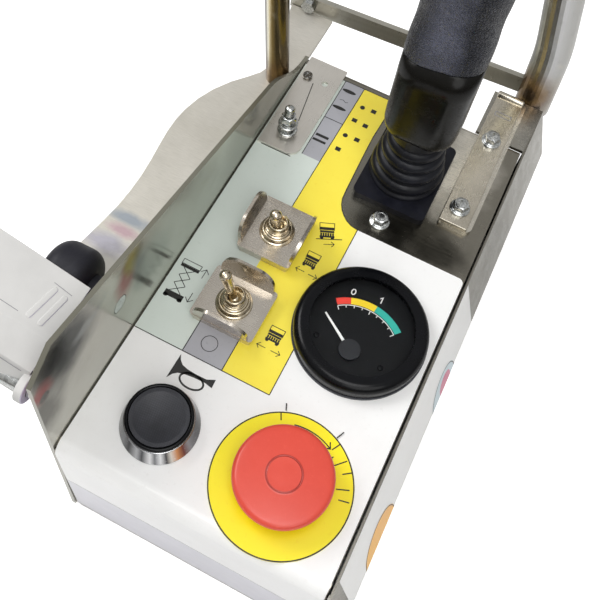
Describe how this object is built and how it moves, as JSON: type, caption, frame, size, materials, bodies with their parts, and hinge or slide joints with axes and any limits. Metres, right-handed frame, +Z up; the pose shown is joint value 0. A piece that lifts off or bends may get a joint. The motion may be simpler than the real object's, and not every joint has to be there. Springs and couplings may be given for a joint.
{
  "type": "lift joystick control box",
  "caption": "Lift control box with a sprung joystick, guarded toggle switches, a dial gauge, a horn button, a mushroom stop button and a tubular guard hoop",
  "frame": {"origin": "centre of the four fixing holes, on the underside of the base cover", "axes": "+X to the right across the panel, +Y from the front of the panel to its back, +Z up out of the panel"},
  "size_m": [0.2065, 0.2953, 0.3029],
  "materials": {
    "zinc_sheet": "plated sheet",
    "polished_plate": "mirror polish",
    "bright_plate": "bright rolled sheet",
    "tube_steel": "polished tube with weld tint",
    "dark_bar": "dull bar",
    "zinc_screw": "bright zinc",
    "dark_screw": "dark",
    "brass_nickel": "nickel over brass",
    "guard_sheet": "bright sheet",
    "switch_case": "moulded",
    "boot_rubber": "moulded rubber",
    "gloss_black": "glossy",
    "grip_black": "leather grain",
    "bezel_black": "satin",
    "dial_black": "printed dial",
    "glass": "clear",
    "needle_white": "matt",
    "skirt_chrome": "polished",
    "cap_black": "fine texture",
    "disc_yellow": "printed sheet",
    "head_red": "moulded",
    "hood_grey": "moulded",
    "body_cream": "moulded",
    "knob_black": "soft touch"
  },
  "bodies": {
    "housing": {"housing_shell": "zinc_sheet", "base_cover": "zinc_sheet", "base_screws": "zinc_screw", "left_wing": "polished_plate", "rail_bracket": "bright_plate", "bracket_bolt": "zinc_screw", "right_cheek": "polished_plate", "guard_hoop": "tube_steel", "left_rod": "tube_steel", "rear_crossbar": "dark_bar", "strip_spacer": "bright_plate", "strip_bracket": "bright_plate", "strip_screws": "zinc_screw", "corner_plate": "bright_plate", "corner_stud": "zinc_screw", "corner_nuts": "zinc_screw", "corner_screw": "dark_screw", "joystick_yoke": "dark_bar", "yoke_screws": "zinc_screw", "position_sensor": "switch_case", "boot_flange": "boot_rubber", "rubber_boot": "boot_rubber", "front_guard": "guard_sheet", "front_guard_spacer": "guard_sheet", "front_switch_body": "brass_nickel", "front_switch_nut": "brass_nickel", "rear_guard": "guard_sheet", "rear_guard_spacer": "guard_sheet", "rear_switch_body": "brass_nickel", "rear_switch_nut": "brass_nickel", "gauge_case": "zinc_sheet", "gauge_bezel": "bezel_black", "gauge_dial": "dial_black", "gauge_glass": "glass", "gauge_clamp": "dark_bar", "horn_bezel": "skirt_chrome", "horn_contact": "switch_case", "stop_disc": "disc_yellow", "stop_body": "switch_case", "stop_contact": "switch_case", "socket_body": "body_cream", "socket_insert": "switch_case", "socket_pin": "zinc_screw"},
    "stick": {"pivot_pin": "zinc_screw", "joystick_shaft": "zinc_screw", "joystick_collar": "gloss_black", "grip_front": "grip_black", "grip_rear": "grip_black"},
    "trigger": {"enable_trigger": "gloss_black"},
    "rocker": {"thumb_rocker": "knob_black"},
    "front_toggle": {"front_lever": "brass_nickel"},
    "rear_toggle": {"rear_lever": "brass_nickel"},
    "needle": {"gauge_needle": "needle_white"},
    "horn_push": {"horn_cap": "cap_black"},
    "stop_stem": {"stop_plunger": "switch_case"},
    "stop_head": {"stop_mushroom": "head_red"},
    "lid": {"socket_lid": "hood_grey"},
    "knob": {"clamp_knob": "knob_black", "knob_stud": "zinc_screw"}
  },
  "joints": [
    {"name": "stick_tilt", "type": "hinge", "parent": "housing", "child": "stick", "pos_m": [0.0123, 0.0742, 0.068], "axis": [1, 0, 0], "range_deg": [-18, 18], "stiffness_Nm_per_rad": 2.5, "deforming": ["rubber_boot"]},
    {"name": "trigger_pull", "type": "hinge", "parent": "stick", "child": "trigger", "pos_m": [0.0123, 0.0857, 0.235], "axis": [-1, 0, 0], "range_deg": [0, 8], "stiffness_Nm_per_rad": 0.05, "springref_deg": -11.46},
    {"name": "rocker_tilt", "type": "hinge", "parent": "stick", "child": "rocker", "pos_m": [0.0123, 0.0712, 0.253], "axis": [0, 1, 0], "range_deg": [-10, 10], "stiffness_Nm_per_rad": 0.03},
    {"name": "front_toggle_flip", "type": "hinge", "parent": "housing", "child": "front_toggle", "pos_m": [-0.027, -0.0294, 0.0989], "axis": [0, 1, 0], "range_deg": [0, 30]},
    {"name": "rear_toggle_flip", "type": "hinge", "parent": "housing", "child": "rear_toggle", "pos_m": [-0.0269, 0.0119, 0.0989], "axis": [-1, 0, 0], "range_deg": [0, 30]},
    {"name": "needle_sweep", "type": "hinge", "parent": "housing", "child": "needle", "pos_m": [0.0267, -0.0247, 0.0944], "axis": [0, 0, -1], "range_deg": [0, 98]},
    {"name": "horn_press", "type": "slide", "parent": "housing", "child": "horn_push", "axis": [0, 0, -1], "range_m": [0, 0.003], "stiffness_N_per_m": 300, "springref_m": -0.002},
    {"name": "stop_press", "type": "slide", "parent": "housing", "child": "stop_stem", "axis": [0, 0, -1], "range_m": [0, 0.004]},
    {"name": "stop_twist", "type": "hinge", "parent": "stop_stem", "child": "stop_head", "pos_m": [0.026, -0.0876, 0.099], "axis": [0, 0, -1], "range_deg": [0, 30], "stiffness_Nm_per_rad": 0.02},
    {"name": "lid_hinge", "type": "hinge", "parent": "housing", "child": "lid", "pos_m": [-0.0762, -0.1115, 0.136], "axis": [1, 0, 0], "range_deg": [0, 100]},
    {"name": "knob_turn", "type": "hinge", "parent": "housing", "child": "knob", "pos_m": [-0.0632, -0.0632, 0.123], "axis": [-1, 0, 0], "continuous": true}
  ]
}
